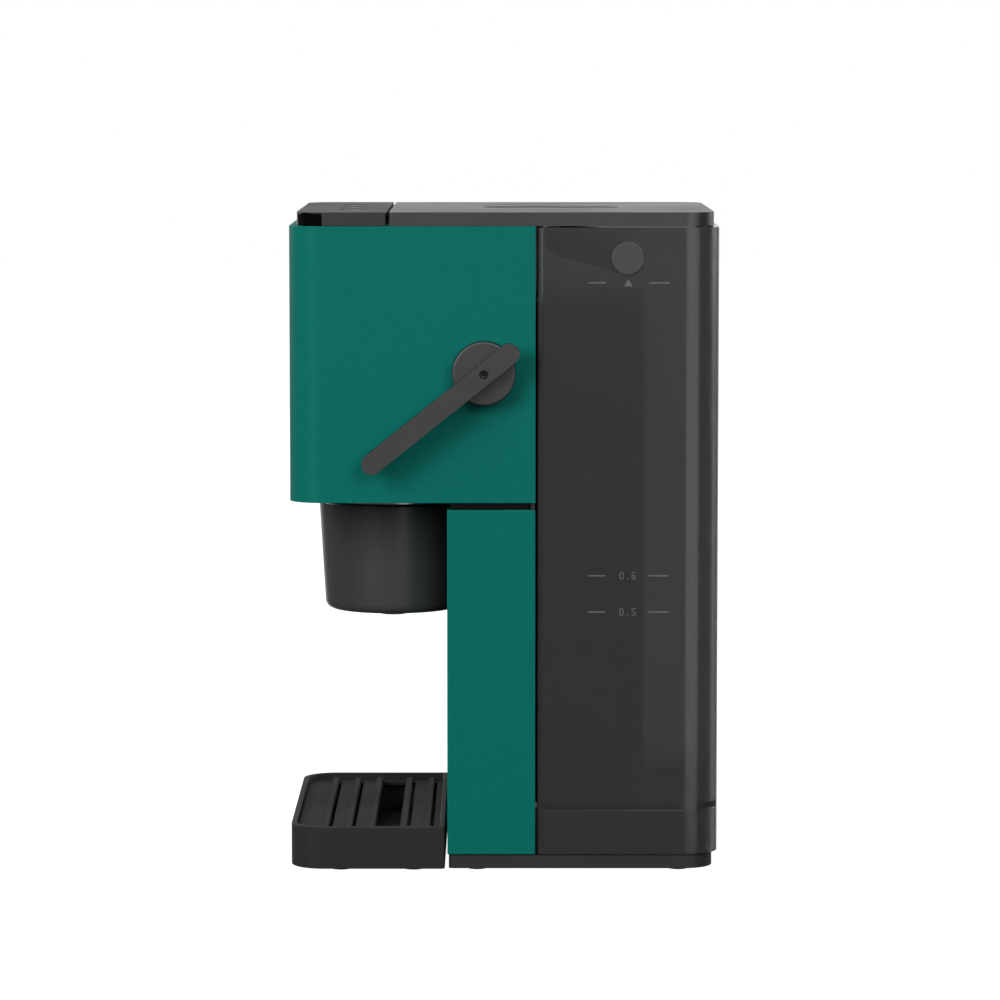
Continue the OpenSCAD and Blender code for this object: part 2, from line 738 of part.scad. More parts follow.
module water_tank() color(smoke) {
    valve = [service_x, well_y];
    difference() {
        union() {
            difference() {
                tank_case(0, [tank_floor - wall, tank_top]);
                difference() {
                    tank_case(wall, [tank_floor, tank_top + slack]);
                    wide(spine_half_w + pocket_gap + wall, [tank_front, spine_back + pocket_gap + wall],
                        [tank_floor - slack, spine_top + 1 + wall]);
                    for (x = hinge_sites) block([x - knuckle_half_w, x + knuckle_half_w],
                        [hinge_y - 1.6, back_y], [tank_top - 6, tank_top + 2]);
                }
                wide(spine_half_w + pocket_gap, [tank_front - slack, spine_back + pocket_gap],
                    [tank_bottom, spine_top + 1]);
            }
            upright(spigot_r, valve, [spigot_bottom, tank_floor - wall + 0.01]);
            for (x = hinge_sites) {
                block([x - knuckle_half_w, x + knuckle_half_w], [hinge_y - 1.6, hinge_y + 1.6],
                    [tank_top - 1, hinge_z]);
                along_x(1.6, [x - knuckle_half_w, x + knuckle_half_w], hinge_y, hinge_z);
            }
        }
        difference() {
            upright(spigot_bore, valve, [spigot_bottom - slack, tank_floor + slack]);
            block([valve[0] - 1.6, valve[0] + 1.6],
                [valve[1] - spigot_bore, valve[1] + spigot_bore], [22, 24]);
        }
        upright(1.3, valve, [20, 26]);
        for (x = hinge_sites)
            along_x(hinge_pin_r, [x - knuckle_half_w - slack, x + knuckle_half_w + slack], hinge_y, hinge_z);
        along_x(knob_r + running, [-half_w - slack, half_w + slack], handle_y, handle_z);
    }
}

module tank_skirt() color(smoke) difference() {
    tank_case(0, [tank_bottom, tank_floor - wall]);
    tank_case(wall, [tank_bottom - slack, tank_floor]);
    wide(spine_half_w + pocket_gap, [tank_front - slack, tank_front + 2 * wall],
        [tank_bottom - slack, tank_floor]);
}

module lid_pins() color(steel) for (x = hinge_sites)
    along_x(hinge_pin_r, [x - knuckle_half_w - 4, x + knuckle_half_w + 4], hinge_y, hinge_z);

module valve_poppet() color(rubber) {
    valve = [service_x, well_y];
    upright(8, valve, [tank_floor + 3.2, tank_floor + 5.4]);
    upright(1, valve, [19.4, tank_floor + 3.2]);
}

module grip_outline() for (end = [-1, 1])
    translate([0, (lid_front + lid_back) / 2 + end * (grip_len - grip_w) / 2]) children();

module grip_cut(grow, z) {
    grip_outline() translate([0, 0, z[0]]) cylinder(r = grip_w / 2 + grow, h = z[1] - z[0]);
    middle = (lid_front + lid_back) / 2;
    reach = (grip_len - grip_w) / 2;
    wide(grip_w / 2 + grow, [middle - reach, middle + reach], z);
}

module tank_lid() color(dark_grey) difference() {
    case(lid_half_w, [lid_front, lid_back], [lid_z, lid_top], 1, lid_r);
    difference() {
        case(lid_half_w - 2, [lid_front + 2, lid_back - 6], [lid_z - slack, lid_top - 2], 1, lid_r - 6);
        grip_cut(2, [lid_z - slack, lid_top]);
    }
    grip_cut(0, [lid_top - grip_depth, lid_top + slack]);
    for (x = hinge_sites) {
        block([x - knuckle_half_w - 0.4, x + knuckle_half_w + 0.4], [hinge_y - 3.4, lid_back + slack],
            [lid_z - slack, lid_top - 0.7]);
        along_x(hinge_pin_r + running, [x - knuckle_half_w - 4.5, x + knuckle_half_w + 4.5],
            hinge_y, hinge_z);
    }
}

module tank_handle() color(dark_grey) {
    grip = [handle_y - bail_reach, handle_z + bail_rise];
    for (side = [-1, 1]) side_plate(side > 0 ? [bail_x - bail_t, bail_x] : [-bail_x, -bail_x + bail_t])
        link([handle_y, handle_z], knob_r, grip, bail_r);
    side_plate([-bail_x, bail_x]) translate(grip) circle(bail_r);
}

module handle_knobs() color(dark_grey) {
    along_x(knob_r, [bail_x, half_w + 0.6], handle_y, handle_z);
    along_x(knob_r, [-half_w - 0.6, -bail_x], handle_y, handle_z);
}

placed() base_plate();
placed() base_feet();
placed() base_screws();
placed() column_shell();
placed() niche_liner();
placed() upper_shell();
placed() head_floor();
placed() mouth_collar();
placed() rear_housing();
placed() tank_dock();
placed() dock_seal();
placed() dock_pin();
placed() control_cap();
placed() indicator_strip();
placed() control_board();
placed() board_screws();
placed() power_board();
placed() cable_gland();
placed() group_block();
placed() shower_plate();
placed() brew_gasket();
placed() boiler();
placed() thermostat();
placed() brew_hose();
placed() inlet_hose();
placed() pump();
placed() pump_mounts();
placed() guide_rods();
placed() rod_bracket();
placed() pinion_frame();
placed() lever_bush();
placed() lever_switch();
placed() lever_arm();
placed() lever_hub();
placed() lever_screw();
placed() lever_shaft();
placed() pinion();
placed() shaft_clip();
placed() lift_rack();
placed() lift_carriage();
placed() pod_cup();
placed() filter_basket();
placed() outlet_nozzle();
placed() drip_tray();
placed() tray_feet();
placed() drip_grille();
placed() water_tank();
placed() tank_skirt();
placed() lid_pins();
placed() valve_poppet();
placed() tank_lid();
placed() tank_handle();
placed() handle_knobs();
placed() espresso_button();
placed() lungo_button();
placed() power_button();
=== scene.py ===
"""Looks of the pod coffee machine: finishes, printed marks, light and camera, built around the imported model.

Metres, with small sizes written in millimetres times MM. +Z is up, the front faces -Y, and the lever is on
the +X side. Colours are 0 to 255 display values.
"""

import json
import math

import bmesh
import bpy
from mathutils import Matrix, Vector


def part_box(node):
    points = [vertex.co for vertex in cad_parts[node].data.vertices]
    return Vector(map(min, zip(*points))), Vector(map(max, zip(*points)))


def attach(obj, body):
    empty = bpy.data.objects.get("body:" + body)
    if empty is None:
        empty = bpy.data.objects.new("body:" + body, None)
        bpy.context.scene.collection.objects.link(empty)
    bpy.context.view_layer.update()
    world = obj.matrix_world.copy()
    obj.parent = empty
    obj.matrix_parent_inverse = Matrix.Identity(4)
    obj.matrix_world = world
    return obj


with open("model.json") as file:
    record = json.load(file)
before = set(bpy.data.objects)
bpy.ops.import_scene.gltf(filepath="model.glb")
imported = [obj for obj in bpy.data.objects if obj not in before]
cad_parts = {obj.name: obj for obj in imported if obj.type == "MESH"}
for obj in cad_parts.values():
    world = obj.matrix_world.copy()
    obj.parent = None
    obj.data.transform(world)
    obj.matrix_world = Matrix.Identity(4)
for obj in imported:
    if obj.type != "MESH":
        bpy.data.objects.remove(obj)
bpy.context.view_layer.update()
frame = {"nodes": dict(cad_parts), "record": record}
MM = 0.001


# ---------- node helpers ----------
SRGB_LINEAR_END = 10        # display values up to this one lie on the straight part of the sRGB curve


def linear(srgb):
    """A 0 to 255 display colour as linear light with full alpha."""
    light = []
    for value in srgb:
        share = value / 255
        light.append(share / 12.92 if value <= SRGB_LINEAR_END else ((share + 0.055) / 1.055) ** 2.4)
    return (*light, 1.0)


def scaled(colour, factor):
    """A linear colour made darker or lighter, no lighter than white."""
    return (*(min(1.0, channel * factor) for channel in colour[:3]), 1.0)


def new_group(name, inputs, outputs):
    """A shader node group with named sockets: inputs are (name, kind, default), outputs are (name, kind)."""
    group = bpy.data.node_groups.new(name, "ShaderNodeTree")
    for label, kind, default in inputs:
        socket = group.interface.new_socket(name=label, in_out="INPUT", socket_type="NodeSocket" + kind)
        socket.default_value = default
    for label, kind in outputs:
        group.interface.new_socket(name=label, in_out="OUTPUT", socket_type="NodeSocket" + kind)
    return group, group.nodes.new("NodeGroupInput"), group.nodes.new("NodeGroupOutput")


def math_node(tree, operation, first, second=None):
    """A Math node; each of first and second is a number or another node's output."""
    node = tree.nodes.new("ShaderNodeMath")
    node.operation = operation
    for index, value in enumerate((first, second)):
        if value is None:
            continue
        if isinstance(value, bpy.types.NodeSocket):
            tree.links.new(value, node.inputs[index])
        else:
            node.inputs[index].default_value = value
    return node.outputs[0]


def noise_node(tree, vector, scale, detail=3.0, roughness=0.5):
    """A noise texture read at vector; scale is a number or a socket."""
    node = tree.nodes.new("ShaderNodeTexNoise")
    node.inputs["Detail"].default_value = detail
    node.inputs["Roughness"].default_value = roughness
    tree.links.new(vector, node.inputs["Vector"])
    if isinstance(scale, bpy.types.NodeSocket):
        tree.links.new(scale, node.inputs["Scale"])
    else:
        node.inputs["Scale"].default_value = scale
    return node.outputs["Fac"]


def range_node(tree, value, low, high, to_low=0.0, to_high=1.0):
    """Spreads low to high over to_low to to_high, and holds outside them."""
    node = tree.nodes.new("ShaderNodeMapRange")
    tree.links.new(value, node.inputs["Value"])
    for label, number in (("From Min", low), ("From Max", high), ("To Min", to_low), ("To Max", to_high)):
        if isinstance(number, bpy.types.NodeSocket):
            tree.links.new(number, node.inputs[label])
        else:
            node.inputs[label].default_value = number
    return node.outputs["Result"]


def mix_colours(tree, factor, first, second):
    """A colour mix; factor, first and second are sockets or plain values."""
    node = tree.nodes.new("ShaderNodeMix")
    node.data_type = "RGBA"
    for index, value in ((0, factor), (6, first), (7, second)):
        if isinstance(value, bpy.types.NodeSocket):
            tree.links.new(value, node.inputs[index])
        else:
            node.inputs[index].default_value = value
    return node.outputs[2]


# ---------- shared effects ----------
NOISE_SPREAD = (0.35, 0.65)     # most values of a noise lie between these
SQUARE_TO_AXIS = 0.999          # a normal this close to an axis belongs to a flat face
ROUNDED_FROM = 0.97


def moulded_grain_group():
    """Fine spark-eroded grain of a moulding: a height for bump and a mottle for colour."""
    group, given, result = new_group(
        "moulded_grain",
        [("Grains per Metre", "Float", 2600.0), ("Mottle per Metre", "Float", 420.0)],
        [("Height", "Float"), ("Mottle", "Float")],
    )
    place = group.nodes.new("ShaderNodeTexCoord").outputs["Object"]
    pebble = group.nodes.new("ShaderNodeTexVoronoi")
    pebble.feature = "SMOOTH_F1"
    group.links.new(place, pebble.inputs["Vector"])
    group.links.new(given.outputs["Grains per Metre"], pebble.inputs["Scale"])
    speckle = noise_node(group, place, given.outputs["Grains per Metre"], detail=2.0, roughness=0.6)
    mottle = noise_node(group, place, given.outputs["Mottle per Metre"], detail=4.0, roughness=0.6)
    height = math_node(group, "ADD", math_node(group, "MULTIPLY", pebble.outputs["Distance"], 0.6),
                       math_node(group, "MULTIPLY", speckle, 0.6))
    group.links.new(height, result.inputs["Height"])
    group.links.new(mottle, result.inputs["Mottle"])
    return group


def edge_wear_group():
    """A mask of the rounded outward edges, broken up by noise, where hands and cloths polish a part."""
    group, given, result = new_group(
        "edge_wear",
        [("Sharpness", "Float", 0.06), ("Breakup per Metre", "Float", 160.0)],
        [("Mask", "Float")],
    )
    edge = group.nodes.new("ShaderNodeNewGeometry").outputs["Pointiness"]
    far = math_node(group, "ADD", 0.5, given.outputs["Sharpness"])
    outward = range_node(group, edge, 0.5, far)
    coordinates = group.nodes.new("ShaderNodeTexCoord")
    facing = group.nodes.new("ShaderNodeSeparateXYZ")
    group.links.new(coordinates.outputs["Normal"], facing.inputs[0])
    squareness = math_node(group, "ABSOLUTE", facing.outputs["Z"])
    for axis in "XY":
        along = math_node(group, "ABSOLUTE", facing.outputs[axis])
        squareness = math_node(group, "MAXIMUM", squareness, along)
    rounded = range_node(group, squareness, ROUNDED_FROM, SQUARE_TO_AXIS, 1.0, 0.0)
    breakup = noise_node(group, coordinates.outputs["Object"], given.outputs["Breakup per Metre"])
    broken = range_node(group, breakup, 0.3, 0.65, 0.35, 1.0)
    on_edges = math_node(group, "MULTIPLY", outward, rounded)
    group.links.new(math_node(group, "MULTIPLY", on_edges, broken), result.inputs["Mask"])
    return group


def handling_group():
    """Two masks: wide faint smears over a whole part, and specks of dust on what faces up."""
    group, given, result = new_group(
        "handling",
        [("Patches per Metre", "Float", 14.0), ("Dust per Metre", "Float", 900.0)],
        [("Smear", "Float"), ("Dust", "Float")],
    )
    place = group.nodes.new("ShaderNodeTexCoord").outputs["Object"]
    patches = noise_node(group, place, given.outputs["Patches per Metre"], 5.0, 0.55)
    smear = range_node(group, patches, 0.38, 0.68)
    up = group.nodes.new("ShaderNodeSeparateXYZ")
    group.links.new(group.nodes.new("ShaderNodeNewGeometry").outputs["Normal"], up.inputs[0])
    facing_up = range_node(group, up.outputs["Z"], 0.5, 1.0)
    powder = noise_node(group, place, given.outputs["Dust per Metre"], 2.0, 0.7)
    specks = range_node(group, powder, 0.62, 0.74)
    group.links.new(smear, result.inputs["Smear"])
    group.links.new(math_node(group, "MULTIPLY", specks, facing_up), result.inputs["Dust"])
    return group


def brushed_lines_group():
    """Long fine scratches of brushed or turned metal, stretched along one axis."""
    group, given, result = new_group(
        "brushed_lines",
        [("Stretch", "Vector", (20.0, 900.0, 900.0)), ("Fineness", "Float", 1.0)],
        [("Height", "Float"), ("Streak", "Float")],
    )
    place = group.nodes.new("ShaderNodeTexCoord").outputs["Object"]
    stretched = group.nodes.new("ShaderNodeVectorMath")
    stretched.operation = "MULTIPLY"
    group.links.new(place, stretched.inputs[0])
    group.links.new(given.outputs["Stretch"], stretched.inputs[1])
    lines = noise_node(group, stretched.outputs[0], given.outputs["Fineness"], detail=4.0, roughness=0.65)
    group.links.new(lines, result.inputs["Height"])
    group.links.new(range_node(group, lines, *NOISE_SPREAD), result.inputs["Streak"])
    return group


GRAIN = moulded_grain_group()
WEAR = edge_wear_group()
HANDLING = handling_group()
BRUSHED = brushed_lines_group()


def use_group(tree, group, **values):
    """A group node with its inputs set; a name's underscores stand for spaces."""
    node = tree.nodes.new("ShaderNodeGroup")
    node.node_tree = group
    for label, value in values.items():
        node.inputs[label.replace("_", " ")].default_value = value
    return node


# ---------- finishes ----------
def start_material(name):
    """A new node material and its Principled shader."""
    material = bpy.data.materials.new(name)
    material.use_nodes = True
    shader = material.node_tree.nodes["Principled BSDF"]
    return material, material.node_tree, shader


DUST_GREY = linear((150, 148, 142))
GRAIN_DEPTH = 0.02 * MM
MOTTLE = 0.06               # how much darker the dark spots of a moulding are


def add_relief(tree, shader, height, strength, depth=GRAIN_DEPTH):
    """Bumps the shader's surface by height."""
    relief = tree.nodes.new("ShaderNodeBump")
    relief.inputs["Strength"].default_value = strength
    relief.inputs["Distance"].default_value = depth
    tree.links.new(height, relief.inputs["Height"])
    tree.links.new(relief.outputs["Normal"], shader.inputs["Normal"])


def moulded(name, colour, roughness, grains=2600.0, bump=0.25, worn=None, specular=0.5, wear=0.35, dust=0.25):
    """A moulded plastic or rubber: grain, polished edges, smears and a little dust on upward faces."""
    material, tree, shader = start_material(name)
    grain = use_group(tree, GRAIN, Grains_per_Metre=grains)
    edges = use_group(tree, WEAR)
    hands = use_group(tree, HANDLING)
    base = linear(colour)
    lighter = linear(worn or tuple(min(255, value * 1.35 + 6) for value in colour))
    spots = range_node(tree, grain.outputs["Mottle"], *NOISE_SPREAD)
    mottled = mix_colours(tree, spots, scaled(base, 1.0 - MOTTLE), base)
    rubbed = mix_colours(tree, math_node(tree, "MULTIPLY", edges.outputs["Mask"], wear), mottled, lighter)
    dusty = mix_colours(tree, math_node(tree, "MULTIPLY", hands.outputs["Dust"], dust), rubbed, DUST_GREY)
    tree.links.new(dusty, shader.inputs["Base Color"])
    smeared = range_node(tree, hands.outputs["Smear"], 0.0, 1.0, roughness + 0.04, roughness - 0.05)
    polished = math_node(tree, "SUBTRACT", smeared, math_node(tree, "MULTIPLY", edges.outputs["Mask"], 0.1))
    tree.links.new(polished, shader.inputs["Roughness"])
    add_relief(tree, shader, grain.outputs["Height"], bump)
    shader.inputs["Specular IOR Level"].default_value = specular
    return material


def lever_paint():
    """Satin grey paint on the faces that look sideways; the edges and side walls are painted near black as
    painted shade.
    """
    material = moulded("lever_paint", (52, 52, 51), 0.4, grains=2400.0, bump=0.2, specular=0.45, wear=0.5)
    tree = material.node_tree
    shader = tree.nodes["Principled BSDF"]
    painted = shader.inputs["Base Color"].links[0].from_socket
    facing = tree.nodes.new("ShaderNodeSeparateXYZ")
    tree.links.new(tree.nodes.new("ShaderNodeTexCoord").outputs["Normal"], facing.inputs[0])
    sideways = math_node(tree, "ABSOLUTE", facing.outputs["X"])
    on_face = range_node(tree, sideways, 0.25, 0.6)
    # Painted shade: faces that turn away from the X axis blend to near black, whatever the light.
    tree.links.new(mix_colours(tree, on_face, linear((12, 12, 13)), painted), shader.inputs["Base Color"])
    return material


def metal(name, colour, roughness, stretch=(20.0, 900.0, 900.0), bump=0.15):
    """A brushed or turned metal, streaked along one axis and duller where it was handled."""
    material, tree, shader = start_material(name)
    lines = use_group(tree, BRUSHED, Stretch=stretch)
    hands = use_group(tree, HANDLING)
    edges = use_group(tree, WEAR)
    base = linear(colour)
    streaked = mix_colours(tree, lines.outputs["Streak"], scaled(base, 0.72), base)
    polish = math_node(tree, "MULTIPLY", edges.outputs["Mask"], 0.5)
    tree.links.new(mix_colours(tree, polish, streaked, scaled(base, 1.25)), shader.inputs["Base Color"])
    rough = range_node(tree, hands.outputs["Smear"], 0.0, 1.0, roughness - 0.05, roughness + 0.08)
    tree.links.new(rough, shader.inputs["Roughness"])
    add_relief(tree, shader, lines.outputs["Height"], bump)
    shader.inputs["Metallic"].default_value = 1.0
    return material


def smoked_plastic():
    """The see-through grey plastic of the water tank."""
    material, tree, shader = start_material("smoked_tank")
    hands = use_group(tree, HANDLING, Patches_per_Metre=18.0)
    grain = use_group(tree, GRAIN, Grains_per_Metre=700.0)
    clear = linear((110, 112, 112))
    faint = linear((105, 107, 108))
    tree.links.new(mix_colours(tree, hands.outputs["Smear"], clear, faint), shader.inputs["Base Color"])
    tree.links.new(range_node(tree, hands.outputs["Smear"], 0.0, 1.0, 0.16, 0.22), shader.inputs["Roughness"])
    add_relief(tree, shader, grain.outputs["Height"], 0.04)
    shader.inputs["Transmission Weight"].default_value = 0.84
    shader.inputs["IOR"].default_value = 1.49
    shader.inputs["Specular IOR Level"].default_value = 0.5
    return material


def circuit_lacquer():
    """Green lacquer over copper tracks."""
    material, tree, shader = start_material("circuit_board")
    place = tree.nodes.new("ShaderNodeTexCoord").outputs["Object"]
    tracks = tree.nodes.new("ShaderNodeTexBrick")
    for label, value in (("Scale", 180.0), ("Mortar Size", 0.03), ("Color1", linear((18, 74, 40))),
                         ("Color2", linear((22, 84, 46))), ("Mortar", linear((70, 118, 66)))):
        tracks.inputs[label].default_value = value
    tree.links.new(place, tracks.inputs["Vector"])
    hands = use_group(tree, HANDLING)
    flux = math_node(tree, "MULTIPLY", hands.outputs["Smear"], 0.3)
    aged = mix_colours(tree, flux, tracks.outputs["Color"], linear((14, 60, 34)))
    tree.links.new(aged, shader.inputs["Base Color"])
    tree.links.new(range_node(tree, hands.outputs["Smear"], 0.0, 1.0, 0.28, 0.4), shader.inputs["Roughness"])
    add_relief(tree, shader, tracks.outputs["Fac"], 0.3, depth=0.03 * MM)
    return material


# One finish for each material slot of the record
FINISHES = {
    "green_shell": moulded("green_shell", (4, 112, 102), 0.55, grains=1500.0, bump=0.35, specular=0.06,
                           worn=(30, 128, 116), dust=0.12),
    "dark_plastic": moulded("dark_plastic", (47, 47, 47), 0.42, grains=1900.0, bump=0.25, specular=0.4),
    "black_plastic": moulded("black_plastic", (16, 16, 17), 0.55, grains=1700.0, bump=0.4, specular=0.4),
    "gloss_black": moulded("gloss_black", (2, 2, 2), 0.08, grains=300.0, bump=0.02, specular=0.3, dust=0.1),
    "smoked_tank": smoked_plastic(),
    "lever_paint": lever_paint(),
    "steel": metal("steel", (196, 198, 200), 0.28),
    "brass": metal("brass", (206, 172, 98), 0.25, stretch=(900.0, 900.0, 30.0)),
    "aluminium": metal("aluminium", (202, 204, 206), 0.42, stretch=(260.0, 260.0, 260.0), bump=0.3),
    "rubber": moulded("rubber", (22, 22, 22), 0.8, grains=1200.0, bump=0.5, specular=0.3, wear=0.2),
    "silicone_hose": moulded("silicone_hose", (214, 213, 206), 0.35, grains=900.0, bump=0.1, wear=0.1),
    "circuit_board": circuit_lacquer(),
}
# Parts whose own finish differs from their slot's
PART_FINISHES = {
    "drip_tray": moulded("tray_plastic", (45, 45, 45), 0.62, grains=1900.0, bump=0.3, specular=0.12),
    "drip_grille": moulded("grille_plastic", (40, 40, 40), 0.66, grains=1700.0, bump=0.3, specular=0.08),
    "control_cap": moulded("cap_plastic", (38, 38, 38), 0.52, grains=1900.0, bump=0.25, specular=0.35),
    "tank_lid": moulded("lid_plastic", (44, 44, 44), 0.38, grains=1900.0, bump=0.22, specular=0.5),
    "pod_cup": moulded("cup_plastic", (62, 62, 62), 0.34, grains=2200.0, bump=0.2, specular=0.5),
    "handle_knobs": moulded("knob_plastic", (60, 60, 60), 0.4, grains=2200.0, bump=0.2, specular=0.4),
    "base_plate": moulded("base_plastic", (43, 44, 43), 0.5, grains=1900.0, bump=0.3, specular=0.3),
    "head_floor": moulded("shadow_black", (5, 5, 5), 0.7, grains=1500.0, bump=0.3, specular=0.1, dust=0.05),
    "lever_screw": moulded("blackened_steel", (9, 9, 10), 0.22, grains=900.0, bump=0.1, specular=0.7),
}
PRINT_INK = moulded("print_ink", (94, 95, 96), 0.6, grains=4000.0, bump=0.1, dust=0.0)
ICON_INK = moulded("icon_ink", (176, 177, 178), 0.5, grains=4000.0, bump=0.1, dust=0.0)


# ---------- carried-over parts ----------
# Edge radii in millimetres; a part that isn't listed gets the small one
EDGE_RADII = {
    "upper_shell": 0.5, "column_shell": 0.5, "niche_liner": 0.3, "control_cap": 0.6, "tank_lid": 0.8,
    "espresso_button": 0.4, "lungo_button": 0.4, "power_button": 0.4,
    "lever_arm": 1.1, "lever_hub": 0.8, "pod_cup": 0.4, "mouth_collar": 0.15,
    "drip_tray": 1.0, "drip_grille": 0.25, "base_plate": 0.5, "rear_housing": 0.5, "tank_dock": 0.5,
    "water_tank": 0.5, "tank_skirt": 0.3, "tank_handle": 0.8, "handle_knobs": 0.4, "cable_gland": 0.5,
}
SMALL_EDGE = 0.15
SLOTTED_PARTS = ("drip_grille",)     # their flat faces have too many holes to be joined into one
MERGE_DISTANCE = 0.005 * MM
FLAT_WITHIN = math.radians(0.5)
SHARP_FROM = math.radians(35)
EDGE_STEPS = 3


def soften(node, radius):
    """Rounds the sharp edges of a carried-over part and shades it smooth."""
    weld = node.modifiers.new("weld", "WELD")
    weld.merge_threshold = MERGE_DISTANCE
    if node.name not in SLOTTED_PARTS:
        flatten = node.modifiers.new("join_flat_faces", "DECIMATE")
        flatten.decimate_type = "DISSOLVE"
        flatten.angle_limit = FLAT_WITHIN
    edge = node.modifiers.new("edge_radius", "BEVEL")
    edge.width = radius * MM
    edge.segments = EDGE_STEPS
    edge.limit_method = "ANGLE"
    edge.angle_limit = SHARP_FROM
    smooth = node.modifiers.new("smooth_normals", "WEIGHTED_NORMAL")
    smooth.keep_sharp = True


def dress_parts():
    """Gives every carried-over part the finish of its slot and rounds its edges."""
    slot_of = {part["node"]: part["material_slot"] for part in frame["record"]["subparts"]}
    for name, node in frame["nodes"].items():
        node.data.materials.clear()
        node.data.materials.append(PART_FINISHES.get(name) or FINISHES[slot_of[name]])
        soften(node, EDGE_RADII.get(name, SMALL_EDGE))


dress_parts()


# ---------- printed marks ----------
def flat_piece(name, outlines, thickness, matrix, material, body):
    """Thin raised print from closed outlines in the XY plane, placed by matrix."""
    mesh = bpy.data.meshes.new(name)
    shape = bmesh.new()
    for outline in outlines:
        low = [shape.verts.new((x, y, 0.0)) for x, y in outline]
        high = [shape.verts.new((x, y, thickness)) for x, y in outline]
        shape.faces.new(high)
        shape.faces.new(low[::-1])
        for index in range(len(outline)):
            following = (index + 1) % len(outline)
            shape.faces.new((low[index], low[following], high[following], high[index]))
    shape.transform(matrix)
    bmesh.ops.recalc_face_normals(shape, faces=shape.faces)
    shape.to_mesh(mesh)
    shape.free()
    mesh.materials.append(material)
    piece = bpy.data.objects.new(name, mesh)
    bpy.context.scene.collection.objects.link(piece)
    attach(piece, body)


def bar(centre, width, height):
    """The outline of a bar about centre."""
    x, y = centre
    return [(x - width / 2, y - height / 2), (x + width / 2, y - height / 2),
            (x + width / 2, y + height / 2), (x - width / 2, y + height / 2)]


def arc_band(centre, radius, width, start, end, steps=24):
    """The outline of a round band from start to end degrees."""
    angles = [math.radians(start + (end - start) * step / steps) for step in range(steps + 1)]
    outer = [(centre[0] + (radius + width / 2) * math.cos(a), centre[1] + (radius + width / 2) * math.sin(a))
             for a in angles]
    inner = [(centre[0] + (radius - width / 2) * math.cos(a), centre[1] + (radius - width / 2) * math.sin(a))
             for a in reversed(angles)]
    return outer + inner


DIGIT_BOWL = 0.75 * MM
DIGIT_STROKE = 0.42 * MM
DIGIT_RISE = 0.7 * MM
DIGIT_STEP = 2.7 * MM


def digit(figure, shift):
    """The outlines of one figure, shift to the right of the middle; anything else is a decimal point."""
    low = (shift, -DIGIT_RISE)
    high = (shift, DIGIT_RISE)
    left = shift - DIGIT_BOWL
    right = shift + DIGIT_BOWL
    if figure == "0":
        return [arc_band(high, DIGIT_BOWL, DIGIT_STROKE, 0, 180),
                arc_band(low, DIGIT_BOWL, DIGIT_STROKE, 180, 360),
                bar((left, 0.0), DIGIT_STROKE, 2 * DIGIT_RISE),
                bar((right, 0.0), DIGIT_STROKE, 2 * DIGIT_RISE)]
    if figure == "6":
        return [arc_band(high, DIGIT_BOWL, DIGIT_STROKE, 25, 180),
                arc_band(low, DIGIT_BOWL, DIGIT_STROKE, -180, 178),
                bar((left, 0.0), DIGIT_STROKE, 2 * DIGIT_RISE)]
    if figure == "5":
        return [arc_band(low, DIGIT_BOWL, DIGIT_STROKE, -150, 120),
                bar((left + 0.1 * MM, 0.65 * MM), DIGIT_STROKE, 1.1 * MM),
                bar((shift + 0.1 * MM, 1.4 * MM), 1.7 * MM, DIGIT_STROKE)]
    return [bar((shift, -1.3 * MM), DIGIT_STROKE * 1.2, DIGIT_STROKE * 1.2)]


# Each level of the tank: its name, its height above the table and its figures
LEVELS = (("highest", 260.0 * MM, ""), ("upper", 131.4 * MM, "0.6"), ("lower", 115.4 * MM, "0.5"))
MARK_MIDDLE = 54.2 * MM
DASHES = ((36.8 * MM, 44.4 * MM), (63.3 * MM, 72.1 * MM))
DASH_THICKNESS = 0.6 * MM
TRIANGLE = ((-1.9 * MM, -1.5 * MM), (1.9 * MM, -1.5 * MM), (0.0, 1.7 * MM))
PRINT_THICKNESS = 0.03 * MM


def level_marks():
    """Dashes and figures on the lever side of the water tank, and a triangle at the highest level."""
    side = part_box("water_tank")[1][0]
    for name, height, figures in LEVELS:
        on_side = Matrix(((0, 0, 1, side), (1, 0, 0, MARK_MIDDLE), (0, 1, 0, height), (0, 0, 0, 1)))
        outlines = [bar(((start + end) / 2 - MARK_MIDDLE, 0.0), end - start, DASH_THICKNESS)
                    for start, end in DASHES]
        for place, figure in enumerate(figures):
            outlines += digit(figure, (place - 1) * DIGIT_STEP)
        if not figures:
            outlines.append(TRIANGLE)
        flat_piece(f"level_mark_{name}", outlines, PRINT_THICKNESS, on_side, PRINT_INK,
                   "water_tank")


def cup_icon(width, height):
    """A cup seen from the side with its handle and saucer."""
    foot = -height / 2
    rim = height / 2
    return [[(-width * 0.32, foot), (width * 0.32, foot), (width / 2, rim), (-width / 2, rim)],
            arc_band((width * 0.5, height * 0.1), height * 0.26, 0.35 * MM, -85, 85, 12),
            bar((0.0, foot - 0.6 * MM), width * 1.15, 0.4 * MM)]


def standby_icon(radius, stroke):
    """An open ring with a bar through its gap."""
    return [arc_band((0.0, 0.0), radius, stroke, -235, 55, 36), bar((0.0, 1.7 * MM), stroke, 2.0 * MM)]


BUTTON_ICONS = {
    "espresso_button": cup_icon(2.8 * MM, 2.0 * MM),
    "lungo_button": cup_icon(4.0 * MM, 3.2 * MM),
    "power_button": standby_icon(2.1 * MM, 0.45 * MM),
}
ICON_THICKNESS = 0.04 * MM


def button_icons():
    """A small cup, a large cup and a standby sign, printed on the three buttons."""
    for button, outlines in BUTTON_ICONS.items():
        low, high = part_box(button)
        on_top = Matrix.Translation(((low[0] + high[0]) / 2, (low[1] + high[1]) / 2, high[2]))
        flat_piece(button + "_icon", outlines, ICON_THICKNESS, on_top, ICON_INK, button)


level_marks()
button_icons()


# ---------- room, light and camera ----------
FLOOR_HALF = 6.0
FLOOR_GREY = (0.2, 0.2, 0.2, 1.0)
WHITE = (1.0, 1.0, 1.0, 1.0)


